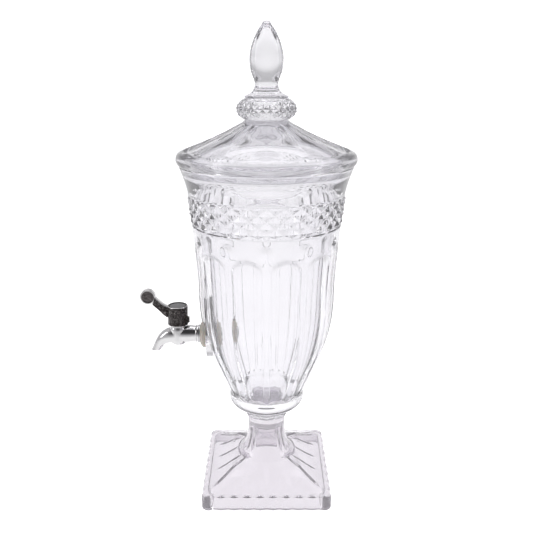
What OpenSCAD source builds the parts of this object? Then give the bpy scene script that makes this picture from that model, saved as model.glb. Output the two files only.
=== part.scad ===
// Footed pressed-glass beverage dispenser with a lift-off lid and a quarter-turn lever tap.
// Millimetres. The foot stands on Z = 0, the urn's axis is Z and the tap points along -X.

/* [Glass urn] */
// Height of the urn's rim above the table
rim_height = 377.5; // [370:0.5:384]
// Outer radius of the flared rim
rim_radius = 92.5; // [90:0.5:94]
// Thickness of the urn's wall at the ribs
wall = 6.5; // [5.5:0.1:7.5]
// Width of the flat rib left between two flutes
rib_width = 8; // [5:0.5:10]
// Diameter of the thumbprint at the head of each rib
thumbprint = 16; // [10:0.5:18]
// Depth of the thumbprints
thumb_depth = 1.5; // [0.5:0.1:2.5]

/* [Foot] */
// Side of the square foot
foot_side = 146; // [140:1:152]
// Height of the foot's straight edge
foot_edge = 17.5; // [14:0.5:20]
// Radius of the foot's corners
foot_corner = 9; // [6:0.5:14]
// Scallops along each side of the foot
scallops = 9; // [7:1:11]
// Narrowest radius of the stem
stem_radius = 21.5; // [20:0.5:24]
// Wall thickness of the hollow foot
foot_wall = 6; // [4.5:0.5:8]

/* [Lid and finial] */
// Outer radius of the lid's rolled rim
lid_radius = 95.8; // [95:0.2:98]
// Thickness of the lid's cone
lid_wall = 5; // [4:0.5:6.5]
// Clearance between the locating ring and the urn's mouth
lid_play = 0.8; // [0.5:0.1:1.5]
// Gap kept under the lid's rim
lid_gap = 0.3; // [0.3:0.1:0.6]
// Widest radius of the bud
bud_radius = 17.5; // [15:0.5:19]
// Height of the whole dispenser
total_height = 520; // [512:1:528]

/* [Tap] */
// Height of the tap's shank above the table
tap_height = 184; // [180:1:188]
// Distance from the urn's axis to the axis of the lever
valve_offset = 100.5; // [99:0.5:103]
// Radius of the threaded shank
shank_radius = 7.9; // [7.4:0.1:8.4]
// Radius of both gaskets
gasket_radius = 16; // [14.5:0.5:17]
// Radius of the cap
cap_radius = 11.75; // [11.5:0.05:12.5]
// Radius of the plug that opens and closes the tap
plug_radius = 6.4; // [5.8:0.1:6.6]
// Radius of the way the drink takes through the tap
bore_radius = 3.6; // [3:0.1:3.7]
// Running clearance round the plug
plug_play = 0.05; // [0.03:0.01:0.09]
// Radius of the round paddle at the end of the lever
paddle_radius = 8.7; // [7:0.1:10]

/* [Hidden] */
$fn = 72;
eps = 0.01;
flutes = 12;
step = 360 / flutes;

// Heights of the urn, from the seat on the foot upwards
seat_z = 86;
ring_z = 104;
ring_top = 116;
arch_z = 293;
arch_rise = 8;
thumb_z = 299;
thumb_skin = 79.5;
band_low = 315.2;
band_high = 346.4;
inside_floor = 110;

// Radii of the urn's outline
seat_radius = 24.5;
ring_radius = 42.2;
band_low_radius = 80.8;
band_high_radius = 84.2;
band_inset = 1.2;
mouth_wall = 5.5;
locating_depth = 7.2;

// Diamonds of the pressed band
diamonds = 30;
diamond_aspect = 1.34;
diamond_height = 1.9;
diamond_pitch_z = 12.7;

// Outline of the urn from ring to rim: height and radius
urn_stations = [
    [ring_top, 42.6], [131, 49.4], [149, 57.1], [167, 64.8], [176, 67.9], [185, 70.4],
    [194, 72.3], [203, 73.8], [221, 75.4], [248, 76], [266, 77], [290, 78.8]
];
function inset(list, d) = [for (s = list) [s[1] - d, s[0]]];
function upside(list) = [for (i = [len(list) - 1 : -1 : 0]) list[i]];

// Lid and finial heights
crown_z = 423.5;
crown_radius = 22.3;
lid_rise = 12.5;
knop_radius = 31.4;
collar_radius = 22.9;
neck_z = 459;
neck_narrow = 12.1;

// Foot shape
slope_rise = 9;
slope_radius = 50;
hip_rise = 18;
hip_radius = 36;
flare_radius = 33;
flare_z = 37.5;
stem_top_z = 75;
scallop_radius = 1.6;
crease_radius = 1.6;

// Tap seat
seat_out = 67.5;
seat_in = 60.5;
boss_radius = 26;
hole_radius = shank_radius + 0.6;

// Distances outwards along the shank
gasket_thick = 7.9;
ring_thick = 1.2;
flange_thick = 3.6;
inner_gasket = 3.5;
inner_washer = 1.5;
nut_thick = 8;
flange_start = seat_out + gasket_thick + ring_thick;
flange_end = flange_start + flange_thick;
nut_end = seat_in - inner_gasket - inner_washer - nut_thick;
shank_end = nut_end - 3.5;
shank_bore = 4.5;
fit = 0.05;

// Heights of the valve, from the shank's height upwards
well_floor = tap_height - 9.5;
neck_radius = 8.5;
neck_top = tap_height + 23;
plug_top = neck_top - 0.4;
bonnet_low = tap_height + 16;
bonnet_top = neck_top + 1.5;
bonnet_radius = 10.1;
stem_half = 3.2;
stem_top = tap_height + 29.4;
cap_low = tap_height + 12;
cap_ceiling = tap_height + 26;
cap_top = tap_height + 34.5;
screw_seat = tap_height + 30.8;
button_seat = cap_top - 1.6;
button_radius = 8.9;
paddle_x = -133.2;
paddle_z = 228.7;
paddle_thick = 7;
paddle_rim = 1.6;
paddle_recess = 0.6;
arm_thick = 7.5;
valve_x = -valve_offset;
groove = 1.6;
ring_thick_o = 1.5;
groove_radius = plug_radius - ring_thick_o - fit;
ring_lower_z = tap_height - 6.5;
ring_upper_z = tap_height + 12;

// Spout stations: distance out, height, fall below the level and girth
spout_sides = 28;
spout_stations = [
    [valve_offset, tap_height - 0.5, 3, 9.3],
    [valve_offset + 5.5, tap_height - 1, 8, 9.3],
    [valve_offset + 10.5, tap_height - 2.1, 16, 9],
    [valve_offset + 14.7, tap_height - 3.9, 28, 8.1],
    [valve_offset + 18.1, tap_height - 6.4, 42, 7],
    [valve_offset + 20.9, tap_height - 9.7, 53, 6],
    [valve_offset + 23.4, tap_height - 13.6, 60, 5.4],
    [valve_offset + 25.7, tap_height - 17.8, 62, 5],
    [valve_offset + 27.9, tap_height - 22, 63, 4.8]
];
mouth_z = tap_height - 19.1;
way_run = 19.8;
way_dip = 17.6;
way_fall = 58.2;
way_bend = [valve_x, tap_height - 1] - way_run * [cos(way_dip), sin(way_dip)];

glass = [0.86, 0.9, 0.91, 0.45];
chrome = [0.72, 0.73, 0.75];
beige = [0.71, 0.68, 0.63];
dark = [0.2, 0.2, 0.21];

// Stands a shape on the shank's line, its Z pointing outwards, d from the urn's axis
module on_shank(d) {
    translate([-d, 0, tap_height]) rotate([0, -90, 0]) children();
}

// Full outer shape of the urn, before the flutes are pressed in
module urn_outside() {
    rotate_extrude() polygon(concat(
        [[0, seat_z], [seat_radius, seat_z], [27.5, 91], [33, 96.5], [39, 101], [ring_radius, ring_z]],
        inset(urn_stations, 0),
        [
            [band_low_radius, band_low - 1.5], [band_low_radius - band_inset, band_low],
            [band_high_radius - band_inset, band_high], [band_high_radius, band_high + 1.5],
            [86.3, 357], [88.8, 366], [rim_radius, rim_height - 2], [rim_radius - 1, rim_height],
            [0, rim_height]
        ]
    ));
}

// Hollow of the urn
module urn_inside() {
    mouth = rim_radius - mouth_wall;
    rotate_extrude() polygon(concat(
        [[0, inside_floor], [29, inside_floor + 0.5], [35, inside_floor + 4]],
        inset(urn_stations, wall),
        [
            [band_low_radius - wall, band_low], [band_high_radius - wall, band_high],
            [86.3 - wall, 357], [88 - wall, 363], [mouth, 368], [mouth, rim_height + 1],
            [0, rim_height + 1]
        ]
    ));
}

// One flute: what lies outside a flat side, within an arched outline narrower than the side
module flute_outline() {
    foot_half = ring_radius * sin(step / 2) - rib_width / 2;
    head_half = 77 * sin(step / 2) - rib_width / 2;
    arch_r = (head_half * head_half + arch_rise * arch_rise) / (2 * arch_rise);
    polygon([
        [-foot_half, ring_top + 2], [foot_half, ring_top + 2],
        [head_half, arch_z - arch_rise], [-head_half, arch_z - arch_rise]
    ]);
    intersection() {
        translate([0, arch_z - arch_r]) circle(r = arch_r);
        translate([-head_half, arch_z - arch_rise - eps]) square([2 * head_half, arch_rise + 1]);
    }
}

module flat_sided_core() {
    rotate_extrude($fn = flutes) polygon(concat(
        [[0, ring_z]], [[ring_radius, ring_z]], inset(urn_stations, 0), [[0, 290]]
    ));
}

module flutes_cut() {
    difference() {
        for (i = [0 : flutes - 1])
            rotate([0, 0, (i + 0.5) * step])
                translate([30, 0, 0]) rotate([90, 0, 90]) linear_extrude(60) flute_outline();
        flat_sided_core();
    }
}

module thumbprints_cut() {
    ball = thumbprint * thumbprint / (8 * thumb_depth) + thumb_depth / 2;
    for (i = [0 : flutes - 1])
        rotate([0, 0, i * step])
            translate([thumb_skin + ball - thumb_depth, 0, thumb_z]) sphere(r = ball);
}

// Pressed diamonds: three full rows of low pyramids, each row set half a diamond round
module diamond_band() {
    mid = (band_low + band_high) / 2 + 0.8;
    half_turn = 180 / diamonds;
    lean = atan2(band_high_radius - band_low_radius, band_high - band_low);
    for (row = [-1 : 1], i = [0 : diamonds - 1]) {
        rise = row * diamond_pitch_z / 2;
        skin = (band_low_radius + band_high_radius) / 2 + rise * tan(lean) - band_inset;
        rotate([0, 0, (2 * i + (row == 0 ? 1 : 0)) * half_turn])
            translate([skin - 0.6, 0, mid + rise]) rotate([0, 90 - lean, 0]) scale([1, diamond_aspect, 1])
                cylinder(r1 = diamond_pitch_z / 2 - 0.15, r2 = 0.6, h = diamond_height, $fn = 4);
    }
}

module bowl() {
    color(glass) difference() {
        union() {
            difference() {
                urn_outside();
                flutes_cut();
                thumbprints_cut();
            }
            diamond_band();
            on_shank(seat_in) cylinder(r = boss_radius, h = seat_out - seat_in);
        }
        difference() {
            urn_inside();
            on_shank(seat_in) cylinder(r = gasket_radius + 2, h = 20);
        }
        on_shank(seat_out) cylinder(r = gasket_radius + 1.5, h = 20);
        on_shank(shank_end - 8) cylinder(r = gasket_radius + 1.5, h = seat_in - shank_end + 8);
        on_shank(seat_in - 5) cylinder(r = hole_radius, h = 20);
    }
}

// Side view of the foot's top: edge, gentle slope and sweep up to the stem
module foot_side_view(d) {
    polygon([
        [-foot_side / 2 + d, -1], [-foot_side / 2 + d, foot_edge - d - eps],
        [-foot_side / 2 + max(d, 5), foot_edge + 1.5 - d], [-slope_radius, foot_edge + slope_rise - d],
        [-hip_radius, foot_edge + hip_rise - d], [d / 2 - flare_radius, flare_z - d],
        [flare_radius - d / 2, flare_z - d], [hip_radius, foot_edge + hip_rise - d],
        [slope_radius, foot_edge + slope_rise - d], [foot_side / 2 - max(d, 5), foot_edge + 1.5 - d],
        [foot_side / 2 - d, foot_edge - d - eps], [foot_side / 2 - d, -1]
    ]);
}

module foot_plan(d) {
    half = foot_side / 2 - d;
    corner = foot_corner - d;
    square([2 * half, 2 * (half - corner)], center = true);
    square([2 * (half - corner), 2 * half], center = true);
    for (x = [-1, 1], y = [-1, 1]) translate([x * (half - corner), y * (half - corner)]) circle(r = corner);
}

module foot_block(d) {
    intersection() {
        translate([0, 0, -1]) linear_extrude(80) foot_plan(d);
        rotate([90, 0, 0]) linear_extrude(foot_side + 2, center = true) foot_side_view(d);
        rotate([90, 0, 90]) linear_extrude(foot_side + 2, center = true) foot_side_view(d);
    }
}

module stem(d) {
    rotate_extrude() polygon([
        [0, flare_z - 12], [flare_radius - d, flare_z - 12], [flare_radius - d, flare_z - 0.5],
        [31.2 - d, flare_z + 2], [28.3 - d, 43], [25.5 - d, 48], [23.4 - d, 54.5], [22.1 - d, 61],
        [stem_radius - d, 67], [stem_radius - d, stem_top_z - d],
        [0, stem_top_z - d]
    ]);
}

// Groove pressed in the foot's top from one place to another
module crease(from, to) {
    run = to - from;
    flat = norm([run[0], run[1]]);
    translate(from) rotate([0, 90 - atan2(run[2], flat), atan2(run[1], run[0])])
        cylinder(r = crease_radius, h = norm(run), $fn = 24);
}

module foot() {
    pitch = (foot_side - 2 * foot_corner) / scallops;
    color(glass) difference() {
        union() {
            foot_block(0);
            stem(0);
            rotate_extrude() polygon([
                [0, stem_top_z - 5], [stem_radius, stem_top_z - 5], [stem_radius, stem_top_z + 1],
                [stem_radius + 1.1, stem_top_z + 6], [seat_radius, seat_z], [0, seat_z]
            ]);
        }
        translate([0, 0, -20]) cube([200, 200, 40], center = true);
        foot_block(foot_wall);
        stem(foot_wall - 1.5);
        for (side = [0 : 3], i = [0 : scallops])
            rotate([0, 0, side * 90])
                translate([-foot_side / 2 + foot_corner + i * pitch, -foot_side / 2 - 0.6, -1])
                    cylinder(r = scallop_radius, h = foot_edge + 4, $fn = 24);
        for (side = [0 : 3]) rotate([0, 0, side * 90]) {
            crease([36, 0, 35.5], [58, 0, 23]);
            crease([35, 21.4, 36.2], [56, 26, 23.8]);
            crease([35, -21.4, 36.2], [56, -26, 23.8]);
            crease([26, 26, 38.3], [33, 33, 38.1]);
            crease([33, 33, 38.1], [52, 52, 26]);
        }
    }
}

// Outline of the lid's cone from rim to crown: radius and height
lid_cone = [
    [86, rim_height + 15.9], [61.6, rim_height + 25.5], [43.4, rim_height + 33.7], [30, rim_height + 40.9]
];

module lid() {
    low = rim_height + lid_gap;
    ring_r = rim_radius - mouth_wall - lid_play;
    color(glass) difference() {
        union() {
            rotate_extrude() polygon([
                [0, low], [lid_radius - 1.8, low], [lid_radius - 0.4, low + 3], [lid_radius, low + 6],
                [lid_radius - 0.5, low + 9], [lid_radius - 1.8, low + 11.3], [lid_radius - 5.8, low + lid_rise],
                [0, low + lid_rise]
            ]);
            rotate([0, 0, step / 2]) rotate_extrude($fn = flutes) polygon(concat(
                [[0, low + 6], [lid_radius - 1.9, low + 6], [lid_radius - 2.3, low + 11.3]],
                lid_cone, [[crown_radius + 0.7, crown_z], [0, crown_z]]
            ));
            rotate_extrude() polygon([
                [ring_r - 5, low + 2], [ring_r - 4, rim_height - locating_depth],
                [ring_r - 1, rim_height - locating_depth], [ring_r, rim_height - locating_depth + 1.2],
                [ring_r, low + 2]
            ]);
        }
        rotate_extrude() polygon([
            [0, rim_height - 20], [ring_r - 5.5, rim_height - 20], [ring_r - 4.5, low], [80, low + 5.5],
            [61, rim_height + 25 - lid_wall], [42, rim_height + 32.9 - lid_wall],
            [28, rim_height + 40.1 - lid_wall], [20, crown_z - lid_wall - 1.1], [0, crown_z - lid_wall]
        ]);
    }
}

// Knop, collar, neck and bud, all on the lid's crown
module finial() {
    color(glass) union() {
        rotate_extrude($fn = flutes * 2) polygon([
            [0, crown_z], [crown_radius, crown_z], [knop_radius - 3.9, crown_z + 2.2],
            [knop_radius - 1, crown_z + 5.5], [knop_radius, crown_z + 10], [knop_radius - 1.2, crown_z + 15],
            [knop_radius - 4.6, crown_z + 19.5], [crown_radius + 0.4, crown_z + 22.5], [0, crown_z + 22.5]
        ]);
        rotate_extrude() polygon([
            [0, crown_z + 21], [collar_radius, crown_z + 22], [collar_radius, crown_z + 24],
            [collar_radius - 4.4, crown_z + 25.5], [neck_narrow + 2.5, crown_z + 28.5],
            [neck_narrow + 0.5, neck_z - 3.5], [neck_narrow, neck_z], [neck_narrow + 0.5, neck_z + 3.5],
            [neck_narrow + 2.1, neck_z + 7], [bud_radius - 1.3, neck_z + 13], [bud_radius - 0.3, neck_z + 19],
            [bud_radius, neck_z + 24.5], [bud_radius - 0.3, neck_z + 29.5], [bud_radius - 1.5, neck_z + 35.5],
            [bud_radius - 3.3, neck_z + 41], [bud_radius - 5.9, neck_z + 47], [bud_radius - 9.3, neck_z + 53],
            [5.4, total_height - 4.3], [4.4, total_height - 2.9], [4, total_height - 1.7],
            [2.8, total_height - 0.5], [0, total_height]
        ]);
    }
}

// Lays a shape along a line in the tap's upright plane that falls away from the urn at an angle
module falling(from, angle) {
    translate([from[0], 0, from[1]]) rotate([0, -90 - angle, 0]) children();
}

// One ring of points round the spout at a station: distance out, height, fall and girth
function spout_ring(s) = [
    for (i = [0 : spout_sides - 1])
        let (t = (i + 0.5) * 360 / spout_sides)
            [-s[0] - s[3] * cos(t) * sin(s[2]), s[3] * sin(t), s[1] + s[3] * cos(t) * cos(s[2])]
];

// Outside of the downturned spout, swept along its stations
module spout_outside() {
    rings = len(spout_stations);
    n = spout_sides;
    points = [for (s = spout_stations) each spout_ring(s)];
    sides = [
        for (r = [0 : rings - 2], i = [0 : n - 1])
            let (j = (i + 1) % n)
                [r * n + i, (r + 1) * n + i, (r + 1) * n + j, r * n + j]
    ];
    start = [[for (i = [0 : n - 1]) i]];
    finish = [[for (i = [n - 1 : -1 : 0]) (rings - 1) * n + i]];
    polyhedron(points, concat(sides, start, finish));
}

module spout_way() {
    falling([valve_x, tap_height - 1], way_dip) cylinder(r = bore_radius, h = way_run);
    translate([way_bend[0], 0, way_bend[1]]) sphere(r = bore_radius + 0.15);
    falling(way_bend, way_fall) cylinder(r = bore_radius, h = way_run);
}

module tap_body() {
    color(chrome) difference() {
        union() {
            on_shank(shank_end) cylinder(r = shank_radius, h = valve_offset - shank_end - 4);
            on_shank(flange_start) rotate_extrude() polygon([
                [0, 0], [10.9, 0], [10.9, flange_thick - 0.8], [10.1, flange_thick], [0, flange_thick]
            ]);
            on_shank(flange_end - 0.5) cylinder(r1 = 9.1, r2 = 10.2, h = 12);
            on_shank(flange_end + 11) cylinder(r = 10.2, h = valve_offset - flange_end - 8);
            translate([valve_x, 0, 0]) rotate_extrude() polygon([
                [0, tap_height - 12.4], [6.5, tap_height - 12.4], [9, tap_height - 10.4], [9.9, tap_height - 6],
                [9.9, tap_height + 6], [9.2, tap_height + 8.5], [neck_radius, tap_height + 10],
                [neck_radius, neck_top], [0, neck_top]
            ]);
            spout_outside();
            translate([valve_x + 7.5, -2, tap_height + 6]) cube([2.6, 4, 9.2]);
        }
        on_shank(shank_end - 1) cylinder(r = shank_bore, h = valve_offset - shank_end - 4);
        translate([valve_x, 0, well_floor]) cylinder(r = plug_radius + plug_play, h = 60);
        spout_way();
        translate([valve_x - 40, -20, mouth_z - 30]) cube([30, 40, 30]);
    }
}

module bonnet() {
    color(dark) translate([valve_x, 0, 0]) difference() {
        translate([0, 0, bonnet_low]) cylinder(r = bonnet_radius, h = bonnet_top - bonnet_low);
        translate([0, 0, bonnet_low - 1]) cylinder(r = neck_radius + fit, h = neck_top - bonnet_low + 1);
        cylinder(r = 5, h = bonnet_top + 1);
    }
}

module o_ring_seat(z) {
    translate([0, 0, z]) rotate_extrude() translate([groove_radius, -groove / 2])
        square([2 * ring_thick_o, groove]);
}

module plug() {
    color(dark) translate([valve_x, 0, 0]) difference() {
        union() {
            translate([0, 0, well_floor + 0.3]) cylinder(r = plug_radius, h = plug_top - well_floor - 0.3);
            translate([-stem_half, -stem_half, plug_top - 1])
                cube([2 * stem_half, 2 * stem_half, stem_top - plug_top + 1]);
        }
        translate([0, 0, tap_height]) rotate([90, 0, 0])
            cylinder(r = bore_radius, h = 4 * plug_radius, center = true);
        o_ring_seat(ring_lower_z);
        o_ring_seat(ring_upper_z);
        translate([0, 0, stem_top - 10]) cylinder(r = 1.5, h = 20);
    }
}

module o_ring(z) {
    color(beige) translate([valve_x, 0, z]) rotate_extrude()
        translate([plug_radius - ring_thick_o / 2, 0]) circle(r = ring_thick_o / 2, $fn = 24);
}

module o_ring_lower() {
    o_ring(ring_lower_z);
}

module o_ring_upper() {
    o_ring(ring_upper_z);
}

// Arm and paddle seen from the side
module lever_outline() {
    polygon([
        [valve_x - 8, cap_low + 8.5], [valve_x - 12.6, cap_low + 7.8], [valve_x - 19.8, cap_low + 15.6],
        [valve_x - 28.5, cap_low + 23.5], [valve_x - 25.5, cap_low + 34], [valve_x - 19.5, cap_low + 27.6],
        [valve_x - 14, cap_low + 23.4], [valve_x - 8, cap_top - 1.2]
    ]);
}

module lever() {
    color(chrome) difference() {
        union() {
            translate([valve_x, 0, 0]) rotate_extrude() polygon([
                [0, cap_low], [cap_radius - 0.4, cap_low], [cap_radius, cap_low + 1], [cap_radius - 0.2, cap_low + 4],
                [cap_radius - 0.5, cap_low + 10], [cap_radius - 0.1, cap_top - 2],
                [cap_radius - 0.6, cap_top - 0.5], [cap_radius - 1.1, cap_top], [0, cap_top]
            ]);
            rotate([90, 0, 0]) linear_extrude(arm_thick, center = true) lever_outline();
            translate([paddle_x, 0, paddle_z]) rotate([90, 0, 0])
                cylinder(r = paddle_radius, h = paddle_thick, center = true);
            translate([valve_x + cap_radius - 1.2, -1.5, cap_low + 2]) cube([2.6, 3, 6.5]);
        }
        for (s = [-1, 1])
            translate([paddle_x, s * paddle_thick / 2, paddle_z]) rotate([90, 0, 0])
                cylinder(r = paddle_radius - paddle_rim, h = 2 * paddle_recess, center = true);
        difference() {
            translate([valve_x, 0, cap_low - 1]) cylinder(r = cap_radius - 1.2, h = cap_ceiling - cap_low + 1);
            intersection() {
                translate([valve_x, 0, cap_low]) difference() {
                    cylinder(r = cap_radius, h = 3.2);
                    translate([0, 0, -1]) cylinder(r = 9.3, h = 6);
                }
                translate([valve_x - 15, -15, cap_low]) cube([12, 30, 4]);
            }
        }
        translate([valve_x - stem_half - fit, -stem_half - fit, cap_ceiling - 1])
            cube([2 * stem_half + 2 * fit, 2 * stem_half + 2 * fit, stem_top - cap_ceiling + 1.3]);
        translate([valve_x, 0, stem_top - 1]) cylinder(r = 1.8, h = 10);
        translate([valve_x, 0, screw_seat]) cylinder(r = 4.2, h = 10);
        translate([valve_x, 0, button_seat]) cylinder(r = button_radius + fit, h = 5);
    }
}

module screw_washer() {
    color(chrome) translate([valve_x, 0, screw_seat]) difference() {
        cylinder(r = 3.6, h = 0.5);
        translate([0, 0, -1]) cylinder(r = 1.8, h = 3);
    }
}

module handle_screw() {
    head_z = screw_seat + 0.5;
    color(chrome) translate([valve_x, 0, 0]) difference() {
        union() {
            translate([0, 0, head_z]) cylinder(r = 2.9, h = 1.4);
            translate([0, 0, stem_top - 9]) cylinder(r = 1.45, h = head_z - stem_top + 9.5);
        }
        for (a = [0, 90])
            translate([0, 0, head_z + 1.2]) rotate([0, 0, a]) cube([3.4, 0.8, 1.2], center = true);
    }
}

module cap_button() {
    color(chrome) translate([valve_x, 0, button_seat]) rotate_extrude() polygon([
        [0, 0], [button_radius, 0], [button_radius, 0.8], [button_radius - 0.3, 1.1], [0, 1.1]
    ]);
}

module outer_gasket() {
    color(beige) on_shank(seat_out) rotate_extrude() polygon([
        [hole_radius, 0], [gasket_radius - 0.8, 0], [gasket_radius, 0.8],
        [gasket_radius, gasket_thick - 3.3], [gasket_radius - 5, gasket_thick], [hole_radius, gasket_thick]
    ]);
}

module flange_ring() {
    color(chrome) on_shank(seat_out + gasket_thick) difference() {
        cylinder(r = 9.9, h = ring_thick);
        translate([0, 0, -1]) cylinder(r = shank_radius + fit, h = 4);
    }
}

module inner_gasket_ring() {
    color(beige) on_shank(seat_in - inner_gasket) difference() {
        cylinder(r = gasket_radius - 0.5, h = inner_gasket);
        translate([0, 0, -1]) cylinder(r = shank_radius + fit, h = inner_gasket + 2);
    }
}

module inner_washer_ring() {
    color(beige) on_shank(seat_in - inner_gasket - inner_washer) difference() {
        cylinder(r = 13.5, h = inner_washer);
        translate([0, 0, -1]) cylinder(r = shank_radius + fit, h = inner_washer + 2);
    }
}

module shank_nut() {
    color(beige) on_shank(nut_end) difference() {
        union() {
            cylinder(r = 14, h = nut_thick, $fn = 6);
            translate([0, 0, nut_thick - 1.6]) cylinder(r = 13.2, h = 1.6);
        }
        translate([0, 0, -1]) cylinder(r = shank_radius + fit, h = nut_thick + 2);
    }
}

bowl();
foot();
lid();
finial();
tap_body();
bonnet();
plug();
o_ring_lower();
o_ring_upper();
lever();
screw_washer();
handle_screw();
cap_button();
outer_gasket();
flange_ring();
inner_gasket_ring();
inner_washer_ring();
shank_nut();
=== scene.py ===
"""Footed pressed-glass beverage dispenser: urn, square foot, lid, finial and chrome lever tap."""
import math
import bpy
import numpy as np
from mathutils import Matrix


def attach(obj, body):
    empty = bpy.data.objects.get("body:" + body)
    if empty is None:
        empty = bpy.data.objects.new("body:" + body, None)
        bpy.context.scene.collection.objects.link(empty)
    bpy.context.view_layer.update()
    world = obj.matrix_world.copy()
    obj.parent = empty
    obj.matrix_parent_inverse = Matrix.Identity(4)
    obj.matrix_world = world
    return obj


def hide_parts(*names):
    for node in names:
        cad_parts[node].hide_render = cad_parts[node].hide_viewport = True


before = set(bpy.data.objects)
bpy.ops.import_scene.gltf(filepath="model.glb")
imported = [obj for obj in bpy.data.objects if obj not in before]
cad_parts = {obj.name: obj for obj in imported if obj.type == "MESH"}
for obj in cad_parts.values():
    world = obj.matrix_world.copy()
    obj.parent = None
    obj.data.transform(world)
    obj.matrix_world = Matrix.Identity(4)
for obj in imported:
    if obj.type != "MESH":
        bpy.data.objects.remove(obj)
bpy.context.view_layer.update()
MM = 0.001
LEVEL_SLACK = 0.01
RADIUS_SLACK = 0.12


# ---------------------------------------------------------------- hand tools
def deselect():
    if bpy.context.object and bpy.context.object.mode != "OBJECT":
        bpy.ops.object.mode_set(mode="OBJECT")
    bpy.ops.object.select_all(action="DESELECT")


def only(piece):
    deselect()
    piece.select_set(True)
    bpy.context.view_layer.objects.active = piece


def edit(piece):
    only(piece)
    bpy.ops.object.mode_set(mode="EDIT")


def places(piece):
    spots = np.empty(len(piece.data.vertices) * 3)
    piece.data.vertices.foreach_get("co", spots)
    return spots.reshape(-1, 3)


def put(piece, spots):
    piece.data.vertices.foreach_set("co", spots.ravel())
    piece.data.update()


def pick(piece, chosen):
    """Opens the piece in edit mode with just these vertices selected."""
    only(piece)
    mesh = piece.data
    mesh.polygons.foreach_set("select", np.zeros(len(mesh.polygons), dtype=bool))
    mesh.edges.foreach_set("select", np.zeros(len(mesh.edges), dtype=bool))
    mesh.vertices.foreach_set("select", np.asarray(chosen, dtype=bool))
    bpy.ops.object.mode_set(mode="EDIT")
    bpy.ops.mesh.select_mode(type="VERT")


def turned(name, outline, columns):
    """A turned shape: one point is drawn out along the outline in mm, then spun round the upright axis."""
    deselect()
    bpy.ops.mesh.primitive_plane_add(size=0.01, location=(0, 0, 0))
    piece = bpy.context.object
    piece.name = name
    bpy.ops.object.mode_set(mode="EDIT")
    bpy.ops.mesh.select_all(action="SELECT")
    bpy.ops.mesh.merge(type="CENTER")
    bpy.ops.transform.translate(value=(outline[0][0] * MM, 0, outline[0][1] * MM))
    for (r0, z0), (r1, z1) in zip(outline, outline[1:]):
        step = ((r1 - r0) * MM, 0, (z1 - z0) * MM)
        bpy.ops.mesh.extrude_region_move(TRANSFORM_OT_translate={"value": step})
    bpy.ops.mesh.select_all(action="SELECT")
    bpy.ops.mesh.spin(steps=columns, angle=2 * math.pi, center=(0, 0, 0), axis=(0, 0, 1))
    bpy.ops.mesh.select_all(action="SELECT")
    bpy.ops.mesh.remove_doubles(threshold=2e-6)
    bpy.ops.mesh.normals_make_consistent(inside=False)
    bpy.ops.object.mode_set(mode="OBJECT")
    return piece


def flowing(stations, step):
    """Stations (radius, height) joined by a smooth curve with a point about every step mm."""
    points = np.array(stations, float)
    ends = np.vstack([2 * points[0] - points[1], points, 2 * points[-1] - points[-2]])
    line = [tuple(points[0])]
    for i in range(1, len(ends) - 2):
        a, b, c, d = ends[i - 1:i + 3]
        count = max(1, int(round(np.linalg.norm(c - b) / step)))
        ta = (c - a) / (np.linalg.norm(c - b) + np.linalg.norm(b - a)) * np.linalg.norm(c - b)
        tb = (d - b) / (np.linalg.norm(d - c) + np.linalg.norm(c - b)) * np.linalg.norm(c - b)
        for k in range(1, count + 1):
            t = k / count
            spot = ((2 * t**3 - 3 * t**2 + 1) * b + (t**3 - 2 * t**2 + t) * ta
                    + (3 * t**2 - 2 * t**3) * c + (t**3 - t**2) * tb)
            line.append(tuple(spot))
    return line


def join(pieces):
    only(pieces[0])
    for piece in pieces:
        piece.select_set(True)
    bpy.ops.object.join()
    return pieces[0]


def bridge(piece, *levels):
    """Closes the gap between two open rings, each given as (radius, height) in mm."""
    spots = places(piece) / MM
    radius = np.hypot(spots[:, 0], spots[:, 1])
    chosen = np.zeros(len(spots), dtype=bool)
    for r, z in levels:
        chosen |= (abs(spots[:, 2] - z) < LEVEL_SLACK) & (abs(radius - r) < RADIUS_SLACK)
    pick(piece, chosen)
    bpy.ops.mesh.bridge_edge_loops()
    bpy.ops.object.mode_set(mode="OBJECT")


def tidy_normals(piece):
    edit(piece)
    bpy.ops.mesh.select_all(action="SELECT")
    bpy.ops.mesh.normals_make_consistent(inside=False)
    bpy.ops.object.mode_set(mode="OBJECT")


def smooth(piece, degrees):
    only(piece)
    bpy.ops.object.shade_smooth_by_angle(angle=math.radians(degrees))


def block(name, radius, start, length, where, columns=64):
    """A round plug along -X at a place in mm, used to add to or cut another piece."""
    deselect()
    bpy.ops.mesh.primitive_cylinder_add(
        vertices=columns, radius=radius * MM, depth=length * MM,
        location=(-(start + length / 2) * MM, 0, where * MM), rotation=(0, math.pi / 2, 0))
    bpy.ops.object.transform_apply(location=True, rotation=True, scale=True)
    bpy.context.object.name = name
    return bpy.context.object


def carve(piece, tool, how):
    """Adds the tool to the piece or cuts it away, and removes the tool."""
    only(piece)
    change = piece.modifiers.new("carve", "BOOLEAN")
    change.operation = how
    change.solver = "EXACT"
    change.object = tool
    bpy.ops.object.modifier_apply(modifier="carve")
    bpy.data.objects.remove(tool, do_unlink=True)


def ramp01(value):
    """A soft step from 0 to 1 as the value goes from 0 to 1."""
    value = np.clip(value, 0, 1)
    return value * value * (3 - 2 * value)


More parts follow.
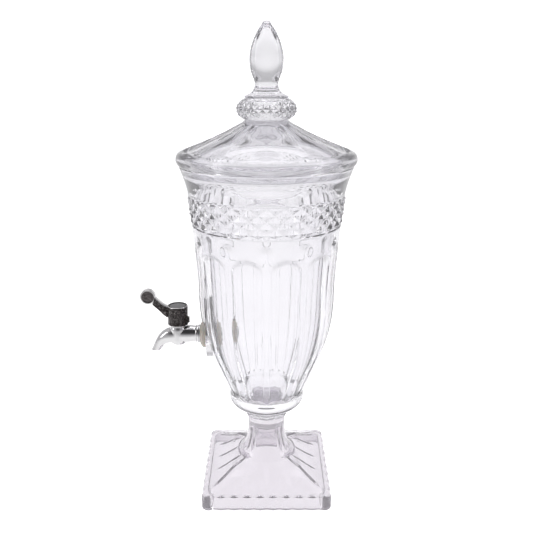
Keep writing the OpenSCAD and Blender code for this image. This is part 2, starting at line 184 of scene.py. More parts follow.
def diamonds(piece, low, high, columns, rows, height, valley):
    """Raises every second crossing of a plain grid, splits its squares and flattens the valleys between."""
    spots = places(piece) / MM
    turn = np.degrees(np.arctan2(spots[:, 1], spots[:, 0])) % 360
    column = np.round(turn / (360 / columns)).astype(int)
    chosen = np.zeros(len(spots), dtype=bool)
    for row, z in enumerate(rows):
        chosen |= (abs(spots[:, 2] - z) < LEVEL_SLACK) & ((column + row) % 2 == 0)
    radius = np.hypot(spots[chosen, 0], spots[chosen, 1]).mean()
    pick(piece, chosen)
    grow = 1 + height / radius
    bpy.ops.transform.resize(value=(grow, grow, 1), center_override=(0, 0, 0))
    inside = (spots[:, 2] > low - LEVEL_SLACK) & (spots[:, 2] < high + LEVEL_SLACK)
    pick(piece, inside)
    bpy.ops.mesh.quads_convert_to_tris(quad_method="SHORTEST_DIAGONAL")
    bpy.ops.object.mode_set(mode="OBJECT")
    between = (spots[:, 2] > low + LEVEL_SLACK) & (spots[:, 2] < high - LEVEL_SLACK)
    valleys = inside & ~chosen & between
    pick(piece, valleys)
    bpy.ops.mesh.bevel(offset=valley * MM, segments=2, profile=0.12, affect="EDGES")
    bpy.ops.object.mode_set(mode="OBJECT")


# ---------------------------------------------------------------- finishes
def new_material(name):
    made = bpy.data.materials.new(name)
    made.use_nodes = True
    return made, made.node_tree.nodes, made.node_tree.links


def noise_height(nodes, links, scale, detail, distance, strength, kind="ShaderNodeTexNoise"):
    where = nodes.new("ShaderNodeTexCoord")
    noise = nodes.new(kind)
    noise.inputs["Scale"].default_value = scale
    if "Detail" in noise.inputs:
        noise.inputs["Detail"].default_value = detail
    bump = nodes.new("ShaderNodeBump")
    bump.inputs["Strength"].default_value = strength
    bump.inputs["Distance"].default_value = distance
    links.new(where.outputs["Object"], noise.inputs["Vector"])
    links.new(noise.outputs[0], bump.inputs["Height"])
    links.new(bump.outputs["Normal"], nodes["Principled BSDF"].inputs["Normal"])
    return noise


def spread(nodes, links, source, low, high, socket):
    """Sends a pattern to a socket as a value between low and high."""
    reach = nodes.new("ShaderNodeMapRange")
    reach.inputs["To Min"].default_value = low
    reach.inputs["To Max"].default_value = high
    links.new(source.outputs[0], reach.inputs["Value"])
    links.new(reach.outputs["Result"], socket)


def tinted(nodes, links, source, first, second, socket):
    """Sends a pattern to a socket as a colour between the first and the second."""
    colours = nodes.new("ShaderNodeValToRGB")
    colours.color_ramp.elements[0].color = (*first, 1)
    colours.color_ramp.elements[1].color = (*second, 1)
    links.new(source.outputs[0], colours.inputs["Fac"])
    links.new(colours.outputs["Color"], socket)


def soft_range(nodes, start, end, first, last):
    """A node that eases from first to last while its input goes from start to end."""
    reach = nodes.new("ShaderNodeMapRange")
    reach.interpolation_type = "SMOOTHSTEP"
    reach.inputs["From Min"].default_value = start
    reach.inputs["From Max"].default_value = end
    reach.inputs["To Min"].default_value = first
    reach.inputs["To Max"].default_value = last
    return reach


def pressed_glass(name, pale, deep, clear):
    """Glass with a slight milky haze, and painted shade: the tint goes a shade deeper where the surface
    turns away from the eye.
    """
    made, nodes, links = new_material(name)
    shader = nodes["Principled BSDF"]
    shader.inputs["Transmission Weight"].default_value = clear
    shader.inputs["IOR"].default_value = 1.5
    waves = noise_height(nodes, links, 26, 1.5, 0.0004, 0.2)
    spread(nodes, links, waves, 0.005, 0.03, shader.inputs["Roughness"])
    # painted shade: the facing weight deepens the tint toward grazing angles, so facets turned away from the
    # eye read greyer
    rim = nodes.new("ShaderNodeLayerWeight")
    rim.inputs["Blend"].default_value = 0.5
    depth = nodes.new("ShaderNodeMath")
    depth.operation = "MULTIPLY_ADD"
    depth.inputs[1].default_value = 0.12
    links.new(waves.outputs[0], depth.inputs[0])
    links.new(rim.outputs["Facing"], depth.inputs[2])
    tinted(nodes, links, depth, pale, deep, shader.inputs["Base Color"])
    return made


def plated(name, colour, rough_low, rough_high):
    made, nodes, links = new_material(name)
    shader = nodes["Principled BSDF"]
    shader.inputs["Metallic"].default_value = 1
    grain = noise_height(nodes, links, 140, 3, 0.0002, 0.25)
    tinted(nodes, links, grain, [c * 0.86 for c in colour], colour, shader.inputs["Base Color"])
    spread(nodes, links, grain, rough_low, rough_high, shader.inputs["Roughness"])
    return made


def dimpled_metal(name, colour):
    made, nodes, links = new_material(name)
    shader = nodes["Principled BSDF"]
    shader.inputs["Metallic"].default_value = 1
    cells = noise_height(nodes, links, 520, 0, 0.0006, 0.9, "ShaderNodeTexVoronoi")
    tinted(nodes, links, cells, colour, [c * 0.35 for c in colour], shader.inputs["Base Color"])
    spread(nodes, links, cells, 0.22, 0.4, shader.inputs["Roughness"])
    return made


def worn_chrome(name, bright, dull):
    """Chrome with a fine, uneven grain of dull spots."""
    made, nodes, links = new_material(name)
    shader = nodes["Principled BSDF"]
    shader.inputs["Metallic"].default_value = 1
    grain = noise_height(nodes, links, 900, 3, 0.0002, 0.4)
    sharper = nodes.new("ShaderNodeMapRange")
    sharper.inputs["From Min"].default_value = 0.5
    sharper.inputs["From Max"].default_value = 0.74
    links.new(grain.outputs[0], sharper.inputs["Value"])
    tinted(nodes, links, sharper, dull, bright, shader.inputs["Base Color"])
    spread(nodes, links, grain, 0.1, 0.3, shader.inputs["Roughness"])
    return made


def moulded(name, colour, rough, scatter=0.0, scale=260):
    made, nodes, links = new_material(name)
    shader = nodes["Principled BSDF"]
    shader.inputs["Subsurface Weight"].default_value = scatter
    shader.inputs["Subsurface Scale"].default_value = 0.003
    grain = noise_height(nodes, links, scale, 4, 0.0002, 0.4)
    tinted(nodes, links, grain, [c * 0.84 for c in colour], [min(1, c * 1.08) for c in colour],
           shader.inputs["Base Color"])
    spread(nodes, links, grain, rough - 0.08, rough + 0.1, shader.inputs["Roughness"])
    return made


# the second colour of each glass is reached where the haze noise and the painted grazing shade push the tint
urn_glass = pressed_glass("urn_glass", (0.97, 0.965, 0.98), (0.68, 0.67, 0.71), 0.94)
foot_glass = pressed_glass("foot_glass", (0.83, 0.8, 0.84), (0.68, 0.66, 0.7), 0.84)
lid_glass = pressed_glass("lid_glass", (0.945, 0.94, 0.96), (0.68, 0.67, 0.71), 0.93)
tap_chrome = plated("tap_chrome", (0.72, 0.715, 0.72), 0.05, 0.16)
lever_chrome = worn_chrome("lever_chrome", (0.3, 0.28, 0.275), (0.02, 0.017, 0.017))
# painted highlight: a bright chrome laid on the lever's rims to stand in for the highlights they catch
painted_highlight_chrome = plated("painted_highlight_chrome", (0.7, 0.69, 0.69), 0.06, 0.14)
button_chrome = plated("button_chrome", (0.2, 0.2, 0.205), 0.08, 0.2)
paddle_face = dimpled_metal("paddle_face", (0.16, 0.145, 0.145))
screw_steel = plated("screw_steel", (0.6, 0.61, 0.62), 0.2, 0.36)
valve_plastic = moulded("valve_plastic", (0.05, 0.05, 0.055), 0.45)
o_ring_rubber = moulded("o_ring_rubber", (0.02, 0.02, 0.02), 0.6)
gasket_silicone = moulded("gasket_silicone", (0.56, 0.52, 0.46), 0.5, 0.3, 160)
nut_plastic = moulded("nut_plastic", (0.6, 0.56, 0.5), 0.42, 0.1, 160)


def finish_with(piece, material, slot):
    piece.data.materials.clear()
    piece.data.materials.append(material)
    piece.visible_shadow = "glass" not in slot


# ---------------------------------------------------------------- urn
FLUTES = 12
STEP = 360 / FLUTES
BAND_LOW, BAND_HIGH = 315.2, 346.4
BODY = [(42.6, 116), (49.4, 131), (57.1, 149), (64.8, 167), (67.9, 176), (70.4, 185), (72.3, 194),
        (73.8, 203), (75.4, 221), (76, 248), (77, 266), (78.8, 290), (80.6, 313.6)]
RING = [(25.4, 86), (27.6, 89.5), (30.6, 93.6), (35, 97.6), (39.6, 101.2), (42.2, 105), (43.1, 109.5),
        (42.7, 113.5), (42.6, 116)]
WALL = 6.5
FLUTE_START = 116
FLUTE_HEAD = 293.5
PRINT_HEIGHT = 299.5
PRINT_RADIUS = 8.4
SEAT_HEIGHT = 184


def press_flutes(piece):
    """Twelve flat-sided flutes with arched heads, the ribs between them and a thumbprint over each rib."""
    spots = places(piece) / MM
    radius = np.hypot(spots[:, 0], spots[:, 1])
    turn = np.degrees(np.arctan2(spots[:, 1], spots[:, 0]))
    z = spots[:, 2]
    from_rib = abs((turn + STEP / 2) % STEP - STEP / 2)
    from_middle = STEP / 2 - from_rib
    rib_half = np.interp(z, [FLUTE_START, 180, 300], [2.4, 3.2, 4])
    rib_turn = np.degrees(rib_half / np.maximum(radius, 1))
    panel_turn = STEP / 2 - rib_turn
    reach = np.clip(from_middle / panel_turn, 0, 1)
    head = FLUTE_HEAD - 9 * reach**2
    into = ramp01((head - z) / 6.5) * ramp01((z - 116.2) / 3)
    across = ramp01((panel_turn - from_middle) / 0.9)
    flat = radius * (1 - math.cos(math.radians(STEP / 2)) / np.cos(np.radians(from_middle)))
    hollow = 0.9 * np.cos(reach * math.pi / 2)
    depth = into * across * (flat + hollow)
    away = np.hypot(radius * np.radians(from_rib), z - PRINT_HEIGHT)
    print_depth = 1.8 * np.clip(1 - (away / PRINT_RADIUS)**2, 0, 1)**1.4
    depth = np.where(z > FLUTE_START, np.maximum(depth, print_depth), 0)
    eighth = abs((turn + 45) % 45 - 22.5)
    facet = math.cos(math.radians(22.5)) / np.cos(np.radians(eighth))
    depth += (1 - ramp01((z - 92) / 8)) * radius * (1 - facet)
    scale = (radius - depth) / np.maximum(radius, 1e-6)
    spots[:, 0] *= scale
    spots[:, 1] *= scale
    put(piece, spots * MM)


def band_r(z):
    """Radius of the band, which leans out a little toward its top."""
    return 79.6 + (z - BAND_LOW) * 3.4 / (BAND_HIGH - BAND_LOW)


def make_urn():
    body = flowing(BODY, 1.9)
    under = [(0, 86), (12, 86)] + flowing(RING, 1.4)
    lower = turned("urn", under + body[1:] + [(80.9, 314.2)], 360)
    press_flutes(lower)

    rows = [318.95, 325.3, 331.65, 338.0, 344.35]
    band = turned("band", [(band_r(z), z) for z in [BAND_LOW] + rows + [BAND_HIGH]], 60)
    diamonds(band, BAND_LOW, BAND_HIGH, 60, rows, 2.5, 0.5)

    flare = flowing([(84.2, 347.6), (84.8, 351), (86.4, 358), (88.9, 366), (91.6, 373.6),
                     (92.4, 375.6)], 1.8)
    rim = [(92.3, 376.7), (91.5, 377.4), (90, 377.5), (88.4, 377.4), (87.4, 376.6), (87, 375.4), (87, 371)]
    inner = flowing([(86.6, 368.4), (84.6, 364.6), (81.2, 358), (79.2, 352), (77.9, 346), (74.6, 316)]
                    + [(r - WALL, z) for r, z in reversed(BODY[:-1])]
                    + [(34.2, 113), (31, 111), (26, 110.2)], 3)
    upper = turned("flare", [(84, 346.9)] + flare + rim + inner + [(14, 110), (0, 110)], 180)

    urn = join([lower, band, upper])
    bridge(urn, (80.9, 314.2), (band_r(BAND_LOW), BAND_LOW))
    bridge(urn, (band_r(BAND_HIGH), BAND_HIGH), (84, 346.9))
    tidy_normals(urn)
    pad = block("pad", 26, 52, 15.5, SEAT_HEIGHT, 96)
    room = [(r - WALL + 2, z) for r, z in BODY[:-1]]
    keep_clear = turned("keep_clear", [(0, 118)] + room + [(0, 290)], 180)
    carve(pad, keep_clear, "DIFFERENCE")
    carve(urn, pad, "UNION")
    carve(urn, block("inner_pad", 18, 60.5, 5, SEAT_HEIGHT, 96), "UNION")
    carve(urn, block("outer_seat", 17.4, 67.5, 14, SEAT_HEIGHT, 96), "DIFFERENCE")
    carve(urn, block("tap_hole", 8.5, 56, 20, SEAT_HEIGHT), "DIFFERENCE")
    smooth(urn, 26)
    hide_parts("bowl")
    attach(urn, "urn")
    finish_with(urn, urn_glass, "urn_glass")


# ---------------------------------------------------------------- foot
HALF = 73.0
SLOPE = [(71.8, 0), (73, 0.9), (73, 14.6), (72.4, 16.6), (70.8, 17.6), (66, 18.9), (58, 22.2), (50, 26.2),
         (43, 30.4), (37.5, 33.9)]
STEM_RING = [(34.9, 35.7), (34, 36.7), (33.1, 36.1)]
STEM = [(32.2, 37.1), (30.9, 39.6), (28.4, 42.9), (25.5, 48), (23.4, 54.5), (22.1, 61), (21.6, 67),
        (21.5, 73), (21.8, 78), (22.8, 82.2), (24.4, 85.95)]
HOLLOW = [(16.2, 70.2), (16.9, 69), (17.1, 62), (18.7, 55), (21, 48), (24.4, 41.5), (28.6, 35),
          (33, 31.2), (37.8, 28.3), (44, 24.4), (54, 18.9), (60.5, 16.1), (64.6, 14.9), (65.2, 13.2),
          (65.2, 6), (65.4, 0)]
CORNER_RADIUS = 9
SCALLOP_PITCH = 14.6


def square_up(piece):
    """Draws the turned rings out to a square with round corners, then presses scallops and creases."""
    spots = places(piece) / MM
    radius = np.hypot(spots[:, 0], spots[:, 1])
    z = spots[:, 2]
    turn = np.arctan2(spots[:, 1], spots[:, 0])
    cos, sin = np.cos(turn), np.sin(turn)
    wide = np.maximum(abs(cos), abs(sin))
    narrow = np.minimum(abs(cos), abs(sin))
    corner = CORNER_RADIUS / HALF
    flat = 1 / np.maximum(wide, 1e-9)
    along = 1 - corner
    on_corner = narrow * flat > along
    mid = along * (wide + narrow)
    bend = mid + np.sqrt(np.maximum(mid**2 - (2 * along**2 - corner**2), 0))
    square = np.where(on_corner, bend, flat)
    profile = sorted(STEM[:7] + SLOPE)
    outside = z > np.interp(radius, [r for r, _ in profile], [h for _, h in profile]) - 2.5
    share = np.where(outside, ramp01((radius - 33) / 7), ramp01((radius - 24) / 12))
    drawn = radius * (1 + share * (square - 1))
    spots[:, 0], spots[:, 1] = drawn * cos, drawn * sin

    side = np.where(abs(cos) >= abs(sin), spots[:, 1], spots[:, 0])
    edge = ramp01((radius - 69) / 2.4) * (abs(side) < HALF - 6)
    wave = 1.3 * edge * (0.5 - 0.5 * np.cos(2 * math.pi * side / SCALLOP_PITCH + math.pi))
    notch = 1 - wave / np.maximum(radius, 1)
    spots[:, 0] *= notch
    spots[:, 1] *= notch

    x, y = abs(spots[:, 0]), abs(spots[:, 1])
    near, far = np.minimum(x, y), np.maximum(x, y)
    fade = ramp01((far - 31) / 5) * (1 - ramp01((far - 52) / 9)) * outside
    corner_fade = ramp01((far - 21) / 5) * (1 - ramp01((far - 51) / 10)) * outside
    middle = np.exp(-(near / 1.3)**2)
    flank = np.exp(-((near - 21 - (far - 33) * 0.22) / 1.3)**2)
    hip = np.exp(-((far - near) / 2.6)**2)
    spots[:, 2] -= fade * (0.8 * middle + 0.8 * flank) + corner_fade * 1.1 * hip
    on_stem = ramp01((z - 41) / 4) * (1 - ramp01((z - 66) / 12)) * outside
    pull = np.exp(-((np.degrees(np.arctan2(near, far)) - 37) / 3.4)**2)
    shrink = 1 - on_stem * 1.3 * pull / np.maximum(radius, 1)
    spots[:, 0] *= shrink
    spots[:, 1] *= shrink
    put(piece, spots * MM)


def make_foot():
    outer = SLOPE[:5] + flowing(SLOPE[4:], 1.2)[1:] + STEM_RING + flowing(STEM, 1.4)
    inner = flowing([(0, 71.3), (8, 71.2), (13.5, 71)] + HOLLOW[:-1], 2.2)
    top = [(24.4, 85.95), (12, 85.95), (0, 85.95)]
    foot = turned("pedestal_foot", inner + [HOLLOW[-1]] + outer[:-1] + top, 480)
    square_up(foot)
    tidy_normals(foot)
    smooth(foot, 30)
    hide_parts("foot")
    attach(foot, "urn")
    finish_with(foot, foot_glass, "foot_glass")


# ---------------------------------------------------------------- lid and finial
LID_TOP = 423.5


def press_petals(piece):
    """Twelve shallow hollows on the cone, with soft ridges between them."""
    spots = places(piece) / MM
    radius = np.hypot(spots[:, 0], spots[:, 1])
    turn = np.degrees(np.arctan2(spots[:, 1], spots[:, 0]))
    from_ridge = abs(turn % STEP - STEP / 2)
    reach = np.clip((STEP / 2 - from_ridge) / (STEP / 2), 0, 1)
    top = np.interp(radius, [22, 30, 43.4, 61.6, 86, 93], [423.5, 418.4, 411.2, 403, 393.4, 390.6])
    outside = spots[:, 2] > top - 2.2
    edge = 88.6 - 4.5 * (1 - np.sin(reach * math.pi / 2))
    into = ramp01((edge - radius) / 3) * ramp01((radius - 22.4) / 4) * outside
    spots[:, 2] -= into * np.interp(radius, [22, 60, 90], [1.1, 2.2, 2.6]) * (1 - (1 - reach)**2)
    put(piece, spots * MM)


def make_lid():
    cone = flowing([(22.3, LID_TOP), (25.4, 421), (30, 418.4), (43.4, 411.2), (61.6, 403), (86, 393.4),
                    (90.6, 391.4)], 1.5)
    rim = flowing([(90.6, 391.4), (93.2, 389.8), (95.1, 387.2), (95.76, 383.8), (95.4, 381.2), (94.4, 378.9),
                   (93.6, 378.1)], 0.8)
    seat = [(92.6, 377.85), (88.4, 377.8), (86.6, 377.2), (86.2, 376), (86.2, 371.8), (85.8, 370.8),
            (84.6, 370.3), (83, 370.3), (82, 370.7), (81.6, 372)]
    under = flowing([(81.2, 377), (80, 382.2), (76, 386.8), (61, 397.5), (42, 405.4), (28, 412.6),
                     (18, 417.2), (9, 418.4)], 2.4)
    crown = [(0, LID_TOP), (11, LID_TOP)]
    lid = turned("lid_glass_cone", crown + cone + rim[1:] + seat + under + [(0, 418.6)], 360)
    press_petals(lid)
    tidy_normals(lid)
    smooth(lid, 30)
    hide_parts("lid")
    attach(lid, "lid")
    finish_with(lid, lid_glass, "lid_glass")


def make_finial():
    base = LID_TOP
    rows = [base + 4.4, base + 8, base + 11.6, base + 15.2, base + 18.6]
    knop_r = [28.4, 30.2, 30.5, 29.4, 26.8]
    knop = turned("cut_knop", [(25.4, base + 1.2)] + list(zip(knop_r, rows)) + [(23.2, base + 21.6)], 48)
    diamonds(knop, base + 1.2, base + 21.6, 48, rows, 1.3, 0.2)
    foot_of_knop = turned("knop_seat", [(0, base - 0.08), (12, base - 0.08), (22, base - 0.08),
                                        (22.6, base + 0.1), (24.9, base + 0.9)], 96)
    swell = flowing([(22.3, base + 22.2), (22.9, base + 22.9), (22.8, base + 24), (19.4, base + 25.4),
                     (15, base + 28.2), (12.9, base + 31.6), (12.1, base + 35.5), (12.6, base + 39),
                     (14.2, base + 42.9), (16.2, base + 48.5), (17.2, base + 54.5), (17.5, base + 60),
                     (17.2, base + 65), (16, base + 71), (14.2, base + 76.5), (11.6, base + 82.5),
                     (8.3, base + 88.5), (5.6, base + 92), (4.5, base + 93.7), (3.9, base + 95.2),
                     (2.2, base + 96.2), (0.9, base + 96.45)], 0.9)
    bud = turned("finial_bud", [(21.8, base + 21.9)] + swell + [(0, base + 96.5)], 96)
    spots = places(bud) / MM
    turn = np.arctan2(spots[:, 1], spots[:, 0])
    facet = ramp01((spots[:, 2] - base - 34) / 12) * (1 - ramp01((spots[:, 2] - base - 80) / 12))
    shrink = 1 - facet * 0.028 * (0.5 - 0.5 * np.cos(8 * turn))
    spots[:, 0] *= shrink
    spots[:, 1] *= shrink
    put(bud, spots * MM)
    finial = join([bud, knop, foot_of_knop])
    bridge(finial, (24.9, base + 0.9), (25.4, base + 1.2))
    bridge(finial, (23.2, base + 21.6), (21.8, base + 21.9))
    tidy_normals(finial)
    smooth(finial, 24)
    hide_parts("finial")
    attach(finial, "lid")
    finish_with(finial, lid_glass, "lid_glass")


# ---------------------------------------------------------------- tap
SHANK_Z = SEAT_HEIGHT
VALVE_X = -100.5
PADDLE = (-133.2, 228.7)
DISH_RADIUS = 7.1
SPOUT_END = 164.9
ARM_WIDTH = 7.5
SPOUT = [(100.5, 183.5, 3, 9.3), (106, 183, 8, 9.3), (111, 181.9, 16, 9), (115.2, 180.1, 28, 8.1),
         (118.6, 177.6, 42, 7), (121.4, 174.3, 53, 6), (123.9, 170.4, 60, 5.4), (126.2, 166.2, 62, 5),
         (128.4, 162, 63, 4.8)]


def stand(piece, where, turn):
    """Turns a piece, sets it at a place in mm and fixes it there."""
    only(piece)
    piece.rotation_euler = [math.radians(a) for a in turn]
    piece.location = [c * MM for c in where]
    bpy.ops.object.transform_apply(location=True, rotation=True, scale=True)
    return piece


def on_shank(name, outline, columns=96):
    """A turned shape on the shank's line; heights in the outline are distances out from the urn's axis."""
    return stand(turned(name, outline, columns), (0, 0, SHANK_Z), (0, -90, 0))


def rod(name, radius, length, where, turn, columns=48):
    deselect()
    bpy.ops.mesh.primitive_cylinder_add(vertices=columns, radius=radius * MM, depth=length * MM)
    bpy.context.object.name = name
    return stand(bpy.context.object, where, turn)


def brick(name, low, high):
    deselect()
    bpy.ops.mesh.primitive_cube_add(size=1)
    box = bpy.context.object
    box.name = name
    box.scale = [(h - l) * MM for l, h in zip(low, high)]
    box.location = [(l + h) / 2 * MM for l, h in zip(low, high)]
    bpy.ops.object.transform_apply(location=True, rotation=True, scale=True)
    return box


def swept_spout():
    deselect()
    out, height, fall, girth = SPOUT[0]
    bpy.ops.mesh.primitive_circle_add(vertices=48, radius=girth * MM, fill_type="NGON")
    spout = stand(bpy.context.object, (-out, 0, height), (0, -90 - fall, 0))
    spout.name = "spout"
    edit(spout)
    bpy.ops.mesh.select_all(action="SELECT")
    for (out0, z0, fall0, r0), (out1, z1, fall1, r1) in zip(SPOUT, SPOUT[1:]):
        step = ((out0 - out1) * MM, 0, (z1 - z0) * MM)
        middle = (-out1 * MM, 0, z1 * MM)
        bpy.ops.mesh.extrude_region_move(TRANSFORM_OT_translate={"value": step})
        bpy.ops.transform.rotate(value=math.radians(fall1 - fall0), orient_axis="Y", center_override=middle)
        bpy.ops.transform.resize(value=(r1 / r0, r1 / r0, r1 / r0), center_override=middle)
    bpy.ops.mesh.select_all(action="SELECT")
    bpy.ops.mesh.bisect(plane_co=(0, 0, SPOUT_END * MM), plane_no=(0, 0, -1),
                        use_fill=True, clear_outer=True)
    bpy.ops.mesh.select_all(action="SELECT")
    bpy.ops.mesh.normals_make_consistent(inside=False)
    bpy.ops.object.mode_set(mode="OBJECT")
    return spout


def make_tap_body():
    body = on_shank("tap_casting", [
        (0, 44), (7.2, 44), (7.9, 44.7), (7.9, 76.6), (10.4, 76.6), (10.8, 76.8), (10.9, 77.2), (10.9, 77.5),
        (10.7, 77.7), (9.5, 77.8), (9.5, 79.2), (10.3, 79.3), (10.5, 79.6), (10.3, 80), (9.4, 80.2),
        (9.2, 80.7), (9.4, 83), (9.8, 87), (10.1, 91), (10.1, 96), (9.7, 100.5), (0, 100.5)])
    barrel = [(0, 171.6), (4, 171.7), (6.8, 172.3), (8.6, 173.6), (9.5, 175.5), (9.9, 178), (9.9, 189.6),
              (9.6, 191.4), (8.9, 193), (8.5, 194.2), (8.5, 206.6), (8.2, 207), (0, 207)]
    housing = stand(turned("housing", barrel, 96), (VALVE_X, 0, 0), (0, 0, 0))
    carve(body, housing, "UNION")
    carve(body, swept_spout(), "UNION")
    carve(body, brick("stop_lug", (-93, -2, 190), (-90.4, 2, 199.2)), "UNION")
    carve(body, rod("shank_bore", 4.5, 58, (-71, 0, SHANK_Z), (0, 90, 0)), "DIFFERENCE")
    carve(body, rod("well", 6.45, 60, (VALVE_X, 0, 204.5), (0, 0, 0), 72), "DIFFERENCE")
    carve(body, rod("way_out", 3.6, 20.4, (-109.9, 0, 180), (0, -107.6, 0)), "DIFFERENCE")
    carve(body, rod("way_down", 3.55, 24, (-125.3, 0, 167.5), (0, -148.2, 0)), "DIFFERENCE")
    smooth(body, 32)
    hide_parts("tap_body")
    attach(body, "urn")
    finish_with(body, tap_chrome, "tap_chrome")


def make_lever():
    cap = [(0, 218.4), (9, 218.4), (10.6, 218.5), (11.1, 218.3), (11.5, 217.8), (11.65, 217), (11.5, 213),
           (11.3, 207), (11.5, 200.5), (11.75, 197.4), (11.7, 196.6), (11.4, 196.1), (11, 196),
           (10.75, 196), (10.6, 196.3), (10.55, 209.6), (10.2, 210), (0, 210)]
    lever = stand(turned("lever_casting", cap, 128), (VALVE_X, 0, 0), (0, 0, 0))
    arm_line = [(-108.5, 204.5), (-110.9, 204.4), (-113.1, 205), (-116.2, 207.6), (-120.3, 212),
                (-129, 220.3), (-126, 230), (-123, 226.5), (-120, 223.4), (-117.3, 221),
                (-114.5, 219), (-111.5, 217.6), (-108.5, 216.9)]
    deselect()
    bpy.ops.mesh.primitive_plane_add(size=0.01)
    arm = bpy.context.object
    edit(arm)
    bpy.ops.mesh.select_all(action="SELECT")
    bpy.ops.mesh.merge(type="CENTER")
    bpy.ops.transform.translate(value=(arm_line[0][0] * MM, -ARM_WIDTH / 2 * MM, arm_line[0][1] * MM))
    for (x0, z0), (x1, z1) in zip(arm_line, arm_line[1:]):
        step = ((x1 - x0) * MM, 0, (z1 - z0) * MM)
        bpy.ops.mesh.extrude_region_move(TRANSFORM_OT_translate={"value": step})
    bpy.ops.mesh.select_all(action="SELECT")
    bpy.ops.mesh.edge_face_add()
    bpy.ops.mesh.extrude_region_move(TRANSFORM_OT_translate={"value": (0, ARM_WIDTH * MM, 0)})
    bpy.ops.mesh.select_all(action="SELECT")
    bpy.ops.mesh.normals_make_consistent(inside=False)
    bpy.ops.object.mode_set(mode="OBJECT")
    soft = arm.modifiers.new("soft", "BEVEL")
    soft.width = 0.9 * MM
    soft.segments = 3
    soft.limit_method = "ANGLE"
    soft.angle_limit = math.radians(50)
    only(arm)
    bpy.ops.object.modifier_apply(modifier="soft")
    disc = [(0, -3.5), (7.9, -3.5), (8.4, -3.35), (8.7, -2.9), (8.7, 2.9), (8.4, 3.35), (7.9, 3.5), (0, 3.5)]
    paddle = stand(turned("paddle", disc, 96), (PADDLE[0], 0, PADDLE[1]), (90, 0, 0))
    carve(arm, paddle, "UNION")
    for side in (-1, 1):
        dish = rod("dish", DISH_RADIUS, 1.2, (PADDLE[0], side * 3.5, PADDLE[1]), (90, 0, 0), 72)
        carve(arm, dish, "DIFFERENCE")
    carve(lever, arm, "UNION")
    carve(lever, brick("outer_lug", (-90.6, -1.5, 198), (-87.35, 1.5, 204.5)), "UNION")
    carve(lever, rod("hollow", 10.55, 14.1, (VALVE_X, 0, 202.95), (0, 0, 0), 128), "DIFFERENCE")
    carve(lever, brick("socket", (VALVE_X - 3.25, -3.25, 209), (VALVE_X + 3.25, 3.25, 213.7)), "DIFFERENCE")
    carve(lever, rod("screw_way", 1.8, 10, (VALVE_X, 0, 216), (0, 0, 0)), "DIFFERENCE")
    carve(lever, rod("screw_dish", 4.2, 8, (VALVE_X, 0, 218.8), (0, 0, 0)), "DIFFERENCE")
    carve(lever, rod("button_dish", 8.95, 4, (VALVE_X, 0, 218.9), (0, 0, 0), 96), "DIFFERENCE")
    smooth(lever, 32)
    finish_with(lever, lever_chrome, "lever_chrome")
    lever.data.materials.append(paddle_face)
    lever.data.materials.append(painted_highlight_chrome)
    # painted highlight: faces on the cap's top and foot rims and on the paddle's rim take the bright chrome;
    # the dish faces take the dimpled paddle face
    for face in lever.data.polygons:
        spot = face.center / MM
        away = math.hypot(spot.x - PADDLE[0], spot.z - PADDLE[1])
        from_axis = math.hypot(spot.x - VALVE_X, spot.y)
        in_dish = away < DISH_RADIUS and abs(abs(spot.y) - 2.9) < 0.1
        paddle_rim_highlight = 8.2 < away < 8.8 and 2.95 < abs(spot.y) < 3.49
        cap_top_highlight = from_axis > 10.2 and spot.z > 217.5
        cap_foot_highlight = 10.8 < from_axis < 12 and spot.z < 197
        if in_dish:
            face.material_index = 1
        elif paddle_rim_highlight or cap_top_highlight or cap_foot_highlight:
            face.material_index = 2
    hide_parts("lever")
    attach(lever, "lever")


def make_gasket():
    ring = [(8.5, 67.5), (15, 67.5), (15.7, 67.8), (16, 68.5), (16, 71.9), (15.7, 72.6), (14.9, 73.1),
            (11.4, 75.2), (10.9, 75.4), (8.5, 75.4), (8.5, 67.5)]
    gasket = on_shank("outer_gasket_soft", ring, 96)
    smooth(gasket, 40)
    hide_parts("outer_gasket")
    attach(gasket, "urn")
    finish_with(gasket, gasket_silicone, "gasket_silicone")


make_urn()
make_foot()
make_lid()
make_finial()
make_tap_body()
make_lever()
make_gasket()

for node, material in {
    "bonnet": valve_plastic, "plug": valve_plastic, "o_ring_lower": o_ring_rubber,
    "o_ring_upper": o_ring_rubber, "screw_washer": screw_steel, "handle_screw": screw_steel,
    "cap_button": button_chrome, "flange_ring": screw_steel,
    "inner_gasket_ring": gasket_silicone, "inner_washer_ring": nut_plastic, "shank_nut": nut_plastic,
}.items():
    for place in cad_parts[node].material_slots:
        place.material = material


# ---------------------------------------------------------------- studio
CURVE_STEP = 0.22
WALL_RISE = 1


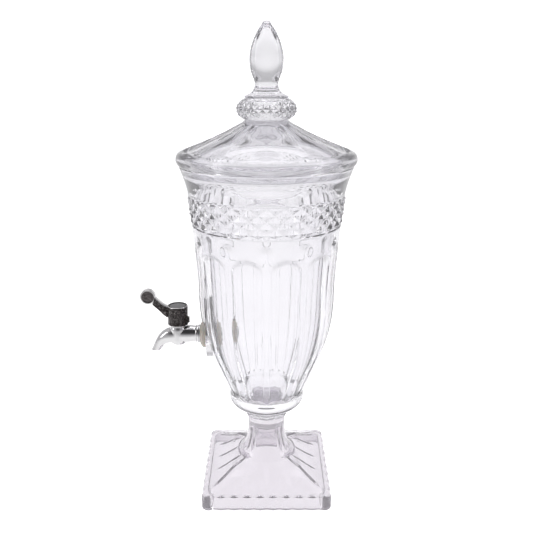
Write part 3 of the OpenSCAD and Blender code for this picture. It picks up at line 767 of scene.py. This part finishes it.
def make_sweep():
    """A pale floor that curves up into a wall behind the dispenser; plain white to the camera alone."""
    deselect()
    bpy.ops.mesh.primitive_plane_add(size=1, location=(0, 0, 0))
    floor = bpy.context.object
    floor.name = "floor"
    edit(floor)
    bpy.ops.mesh.select_all(action="SELECT")
    bpy.ops.transform.resize(value=(9, 5.4, 1))
    bpy.ops.transform.translate(value=(0, -0.9, -0.0003))
    bpy.ops.object.mode_set(mode="OBJECT")
    pick(floor, [v.co.y > 1 for v in floor.data.vertices])
    for rise in (15, 30, 45, 60, 75):
        step = (0, CURVE_STEP * math.cos(math.radians(rise)), CURVE_STEP * math.sin(math.radians(rise)))
        bpy.ops.mesh.extrude_region_move(TRANSFORM_OT_translate={"value": step})
    bpy.ops.mesh.extrude_region_move(TRANSFORM_OT_translate={"value": (0, 0, WALL_RISE)})
    bpy.ops.object.mode_set(mode="OBJECT")
    bpy.ops.object.shade_smooth()
    pale, nodes, links = new_material("pale_floor")
    shader = nodes["Principled BSDF"]
    shader.inputs["Base Color"].default_value = (0.6, 0.6, 0.605, 1)
    shader.inputs["Roughness"].default_value = 0.9
    shader.inputs["Specular IOR Level"].default_value = 0.1
    shader.inputs["Emission Color"].default_value = (1, 1, 1, 1)
    where = nodes.new("ShaderNodeTexCoord")
    split = nodes.new("ShaderNodeSeparateXYZ")
    ahead = soft_range(nodes, -0.7, -0.2, 0.3, 0.78)
    aloft = soft_range(nodes, 0.72, 1.3, 1, 0.3)
    beyond = soft_range(nodes, 0.7, 1.7, 1, 0.8)
    glow = nodes.new("ShaderNodeMath")
    glow.operation = "MULTIPLY"
    links.new(where.outputs["Object"], split.inputs["Vector"])
    links.new(split.outputs["Y"], ahead.inputs["Value"])
    links.new(split.outputs["Z"], aloft.inputs["Value"])
    links.new(ahead.outputs["Result"], glow.inputs[0])
    links.new(aloft.outputs["Result"], glow.inputs[1])
    fading = nodes.new("ShaderNodeMath")
    fading.operation = "MULTIPLY"
    seen = nodes.new("ShaderNodeLightPath")
    backdrop = nodes.new("ShaderNodeMath")
    backdrop.operation = "MAXIMUM"
    links.new(split.outputs["Y"], beyond.inputs["Value"])
    links.new(glow.outputs["Value"], fading.inputs[0])
    links.new(beyond.outputs["Result"], fading.inputs[1])
    links.new(fading.outputs["Value"], backdrop.inputs[0])
    links.new(seen.outputs["Is Camera Ray"], backdrop.inputs[1])
    links.new(backdrop.outputs["Value"], shader.inputs["Emission Strength"])
    floor.data.materials.append(pale)


make_sweep()


def panel(name, where, aim, size, power):
    light = bpy.data.lights.new(name, "AREA")
    light.shape = "RECTANGLE"
    light.size, light.size_y = size
    light.energy = power
    lamp = bpy.data.objects.new(name, light)
    bpy.context.scene.collection.objects.link(lamp)
    lamp.location = where
    direction = [a - b for a, b in zip(aim, where)]
    flat = math.hypot(direction[0], direction[1])
    lamp.rotation_euler = (math.atan2(flat, -direction[2]), 0, math.atan2(-direction[0], direction[1]))
    return lamp


panel("overhead_softbox", (0, 0.4, 1.7), (0, 0.3, 0), (1.8, 1.4), 9)
panel("left_softbox", (-1.5, -0.5, 0.9), (0, 0, 0.25), (0.4, 1.2), 4)
panel("right_softbox", (1.5, -0.3, 0.9), (0, 0, 0.25), (0.4, 1.2), 3)

world = bpy.data.worlds.new("studio")
bpy.context.scene.world = world
world.use_nodes = True
sky = world.node_tree.nodes
sky_links = world.node_tree.links
sky["Background"].inputs["Color"].default_value = (0.98, 0.97, 1, 1)
around = sky.new("ShaderNodeTexCoord")
toward = sky.new("ShaderNodeVectorMath")
toward.operation = "DOT_PRODUCT"
toward.inputs[1].default_value = (0, -0.7, 0.7)
dusk = soft_range(sky, 0.55, 0.97, 0.62, 0.05)
sky_links.new(around.outputs["Generated"], toward.inputs[0])
sky_links.new(toward.outputs["Value"], dusk.inputs["Value"])
sky_links.new(dusk.outputs["Result"], sky["Background"].inputs["Strength"])

CAMERA_TILT = 16.726
camera_data = bpy.data.cameras.new("camera")
camera_data.lens = 44.23
camera_data.sensor_width = 36
camera = bpy.data.objects.new("camera", camera_data)
bpy.context.scene.collection.objects.link(camera)
camera.location = (0, -0.6958, 0.473)
camera.rotation_euler = (math.radians(90 - CAMERA_TILT), 0, 0)
bpy.context.scene.camera = camera
bpy.context.scene.view_settings.view_transform = "Standard"
